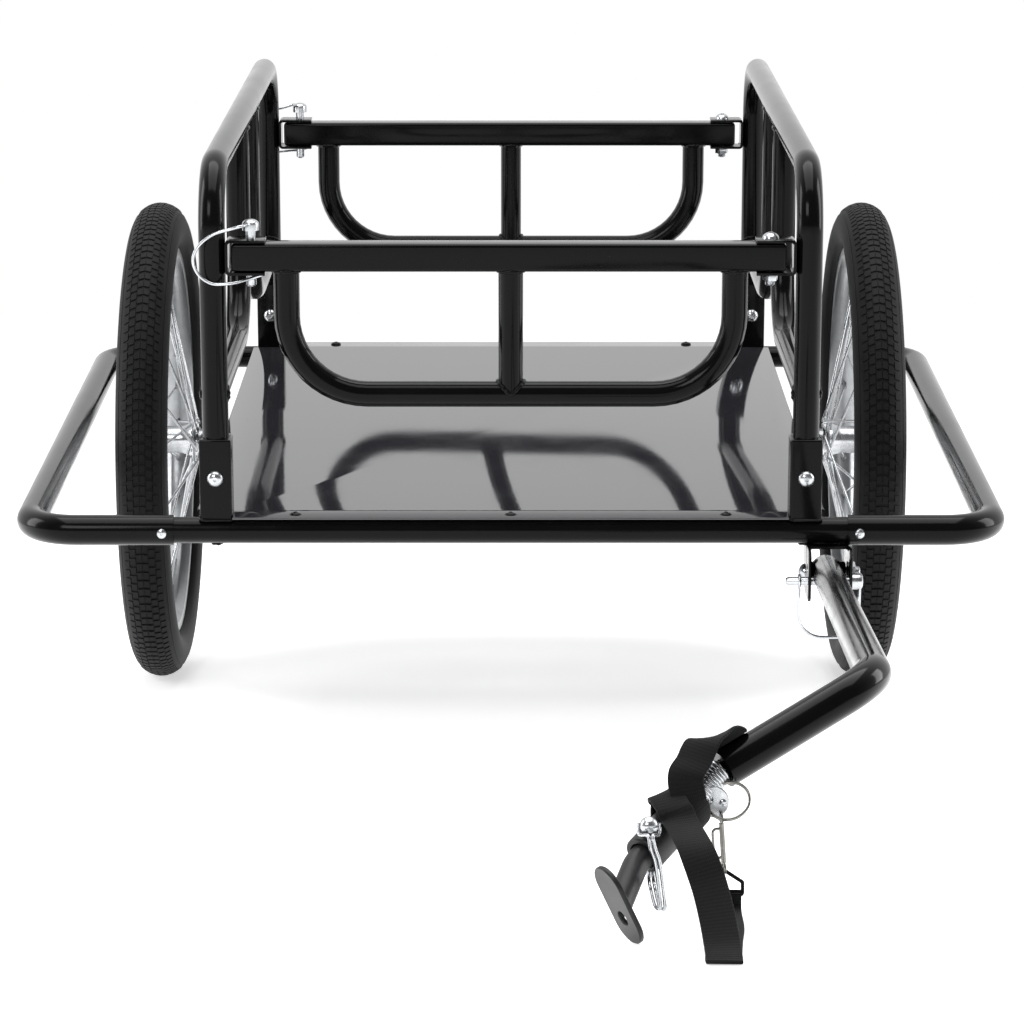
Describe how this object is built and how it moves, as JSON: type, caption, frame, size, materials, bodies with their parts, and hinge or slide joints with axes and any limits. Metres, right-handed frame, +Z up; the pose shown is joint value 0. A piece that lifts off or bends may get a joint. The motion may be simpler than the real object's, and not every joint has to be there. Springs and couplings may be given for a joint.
{
  "type": "bicycle cargo trailer",
  "caption": "Two-wheeled flatbed bicycle trailer with hoop side frames, swinging end gates, wheel guards and a folding side hitch arm, parked on its hitch.",
  "frame": {"origin": "middle of the footprint, on the ground", "axes": "+Z up, -Y towards the hitch and the towing bicycle, +X towards the hitch arm's side"},
  "size_m": [0.7322, 1.3408, 0.5081],
  "materials": {
    "black_gloss_paint": "gloss",
    "bright_zinc": "bright plated",
    "rim_alloy": "satin",
    "tyre_rubber": "matte",
    "black_webbing": "woven"
  },
  "bodies": {
    "frame": {"front_cross_tube": "black_gloss_paint", "rear_cross_tube": "black_gloss_paint", "side_tube_left": "black_gloss_paint", "side_tube_right": "black_gloss_paint", "deck_bearer": "black_gloss_paint", "deck_sheet": "black_gloss_paint", "side_frame_left": "black_gloss_paint", "side_frame_right": "black_gloss_paint", "guard_left": "black_gloss_paint", "guard_right": "black_gloss_paint", "socket_front_left": "black_gloss_paint", "socket_front_right": "black_gloss_paint", "socket_rear_left": "black_gloss_paint", "socket_rear_right": "black_gloss_paint", "gate_bracket_front_left": "black_gloss_paint", "gate_bracket_front_right": "black_gloss_paint", "gate_bracket_rear_left": "black_gloss_paint", "gate_bracket_rear_right": "black_gloss_paint", "wheel_plate_inner_left": "black_gloss_paint", "wheel_plate_inner_right": "black_gloss_paint", "wheel_plate_outer_left": "black_gloss_paint", "wheel_plate_outer_right": "black_gloss_paint", "hitch_bracket": "black_gloss_paint", "socket_bolt_front_left": "bright_zinc", "socket_bolt_front_right": "bright_zinc", "socket_bolt_rear_left": "bright_zinc", "socket_bolt_rear_right": "bright_zinc", "gate_bolt_front": "bright_zinc", "gate_bolt_rear": "bright_zinc", "gate_lock_pin_front": "bright_zinc", "gate_lock_pin_rear": "bright_zinc", "axle_left": "bright_zinc", "axle_right": "bright_zinc", "hitch_pivot_bolt": "bright_zinc", "hitch_lock_pin": "bright_zinc"},
    "wheel_left": {"tyre_left": "tyre_rubber", "rim_left": "rim_alloy", "hub_spokes_left": "bright_zinc"},
    "wheel_right": {"tyre_right": "tyre_rubber", "rim_right": "rim_alloy", "hub_spokes_right": "bright_zinc"},
    "gate_front": {"gate_front": "black_gloss_paint"},
    "gate_rear": {"gate_rear": "black_gloss_paint"},
    "hitch": {"hitch_arm": "black_gloss_paint", "spring_core": "black_gloss_paint", "coupling_spring": "bright_zinc", "coupling_sleeve": "black_gloss_paint", "coupling_rod": "black_gloss_paint", "coupling_pin": "bright_zinc", "spring_tab": "bright_zinc", "split_ring": "bright_zinc", "snap_hook": "bright_zinc", "strap_ring": "bright_zinc", "safety_strap": "black_webbing"}
  },
  "joints": [
    {"name": "wheel_left_spin", "type": "hinge", "parent": "frame", "child": "wheel_left", "pos_m": [-0.286, 0.41331, 0.194], "axis": [1, 0, 0], "continuous": true},
    {"name": "wheel_right_spin", "type": "hinge", "parent": "frame", "child": "wheel_right", "pos_m": [0.286, 0.41331, 0.194], "axis": [1, 0, 0], "continuous": true},
    {"name": "gate_front_swing", "type": "hinge", "parent": "frame", "child": "gate_front", "pos_m": [0.184, 0.01516, 0.35554], "axis": [0, -0.1451, 0.9894], "range_deg": [0, 90]},
    {"name": "gate_rear_swing", "type": "hinge", "parent": "frame", "child": "gate_rear", "pos_m": [0.184, 0.62761, 0.44535], "axis": [0, 0.1451, -0.9894], "range_deg": [0, 90]},
    {"name": "hitch_fold", "type": "hinge", "parent": "frame", "child": "hitch", "pos_m": [0.229, 0.05442, 0.12571], "axis": [1, 0, 0], "range_deg": [0, 170]}
  ]
}
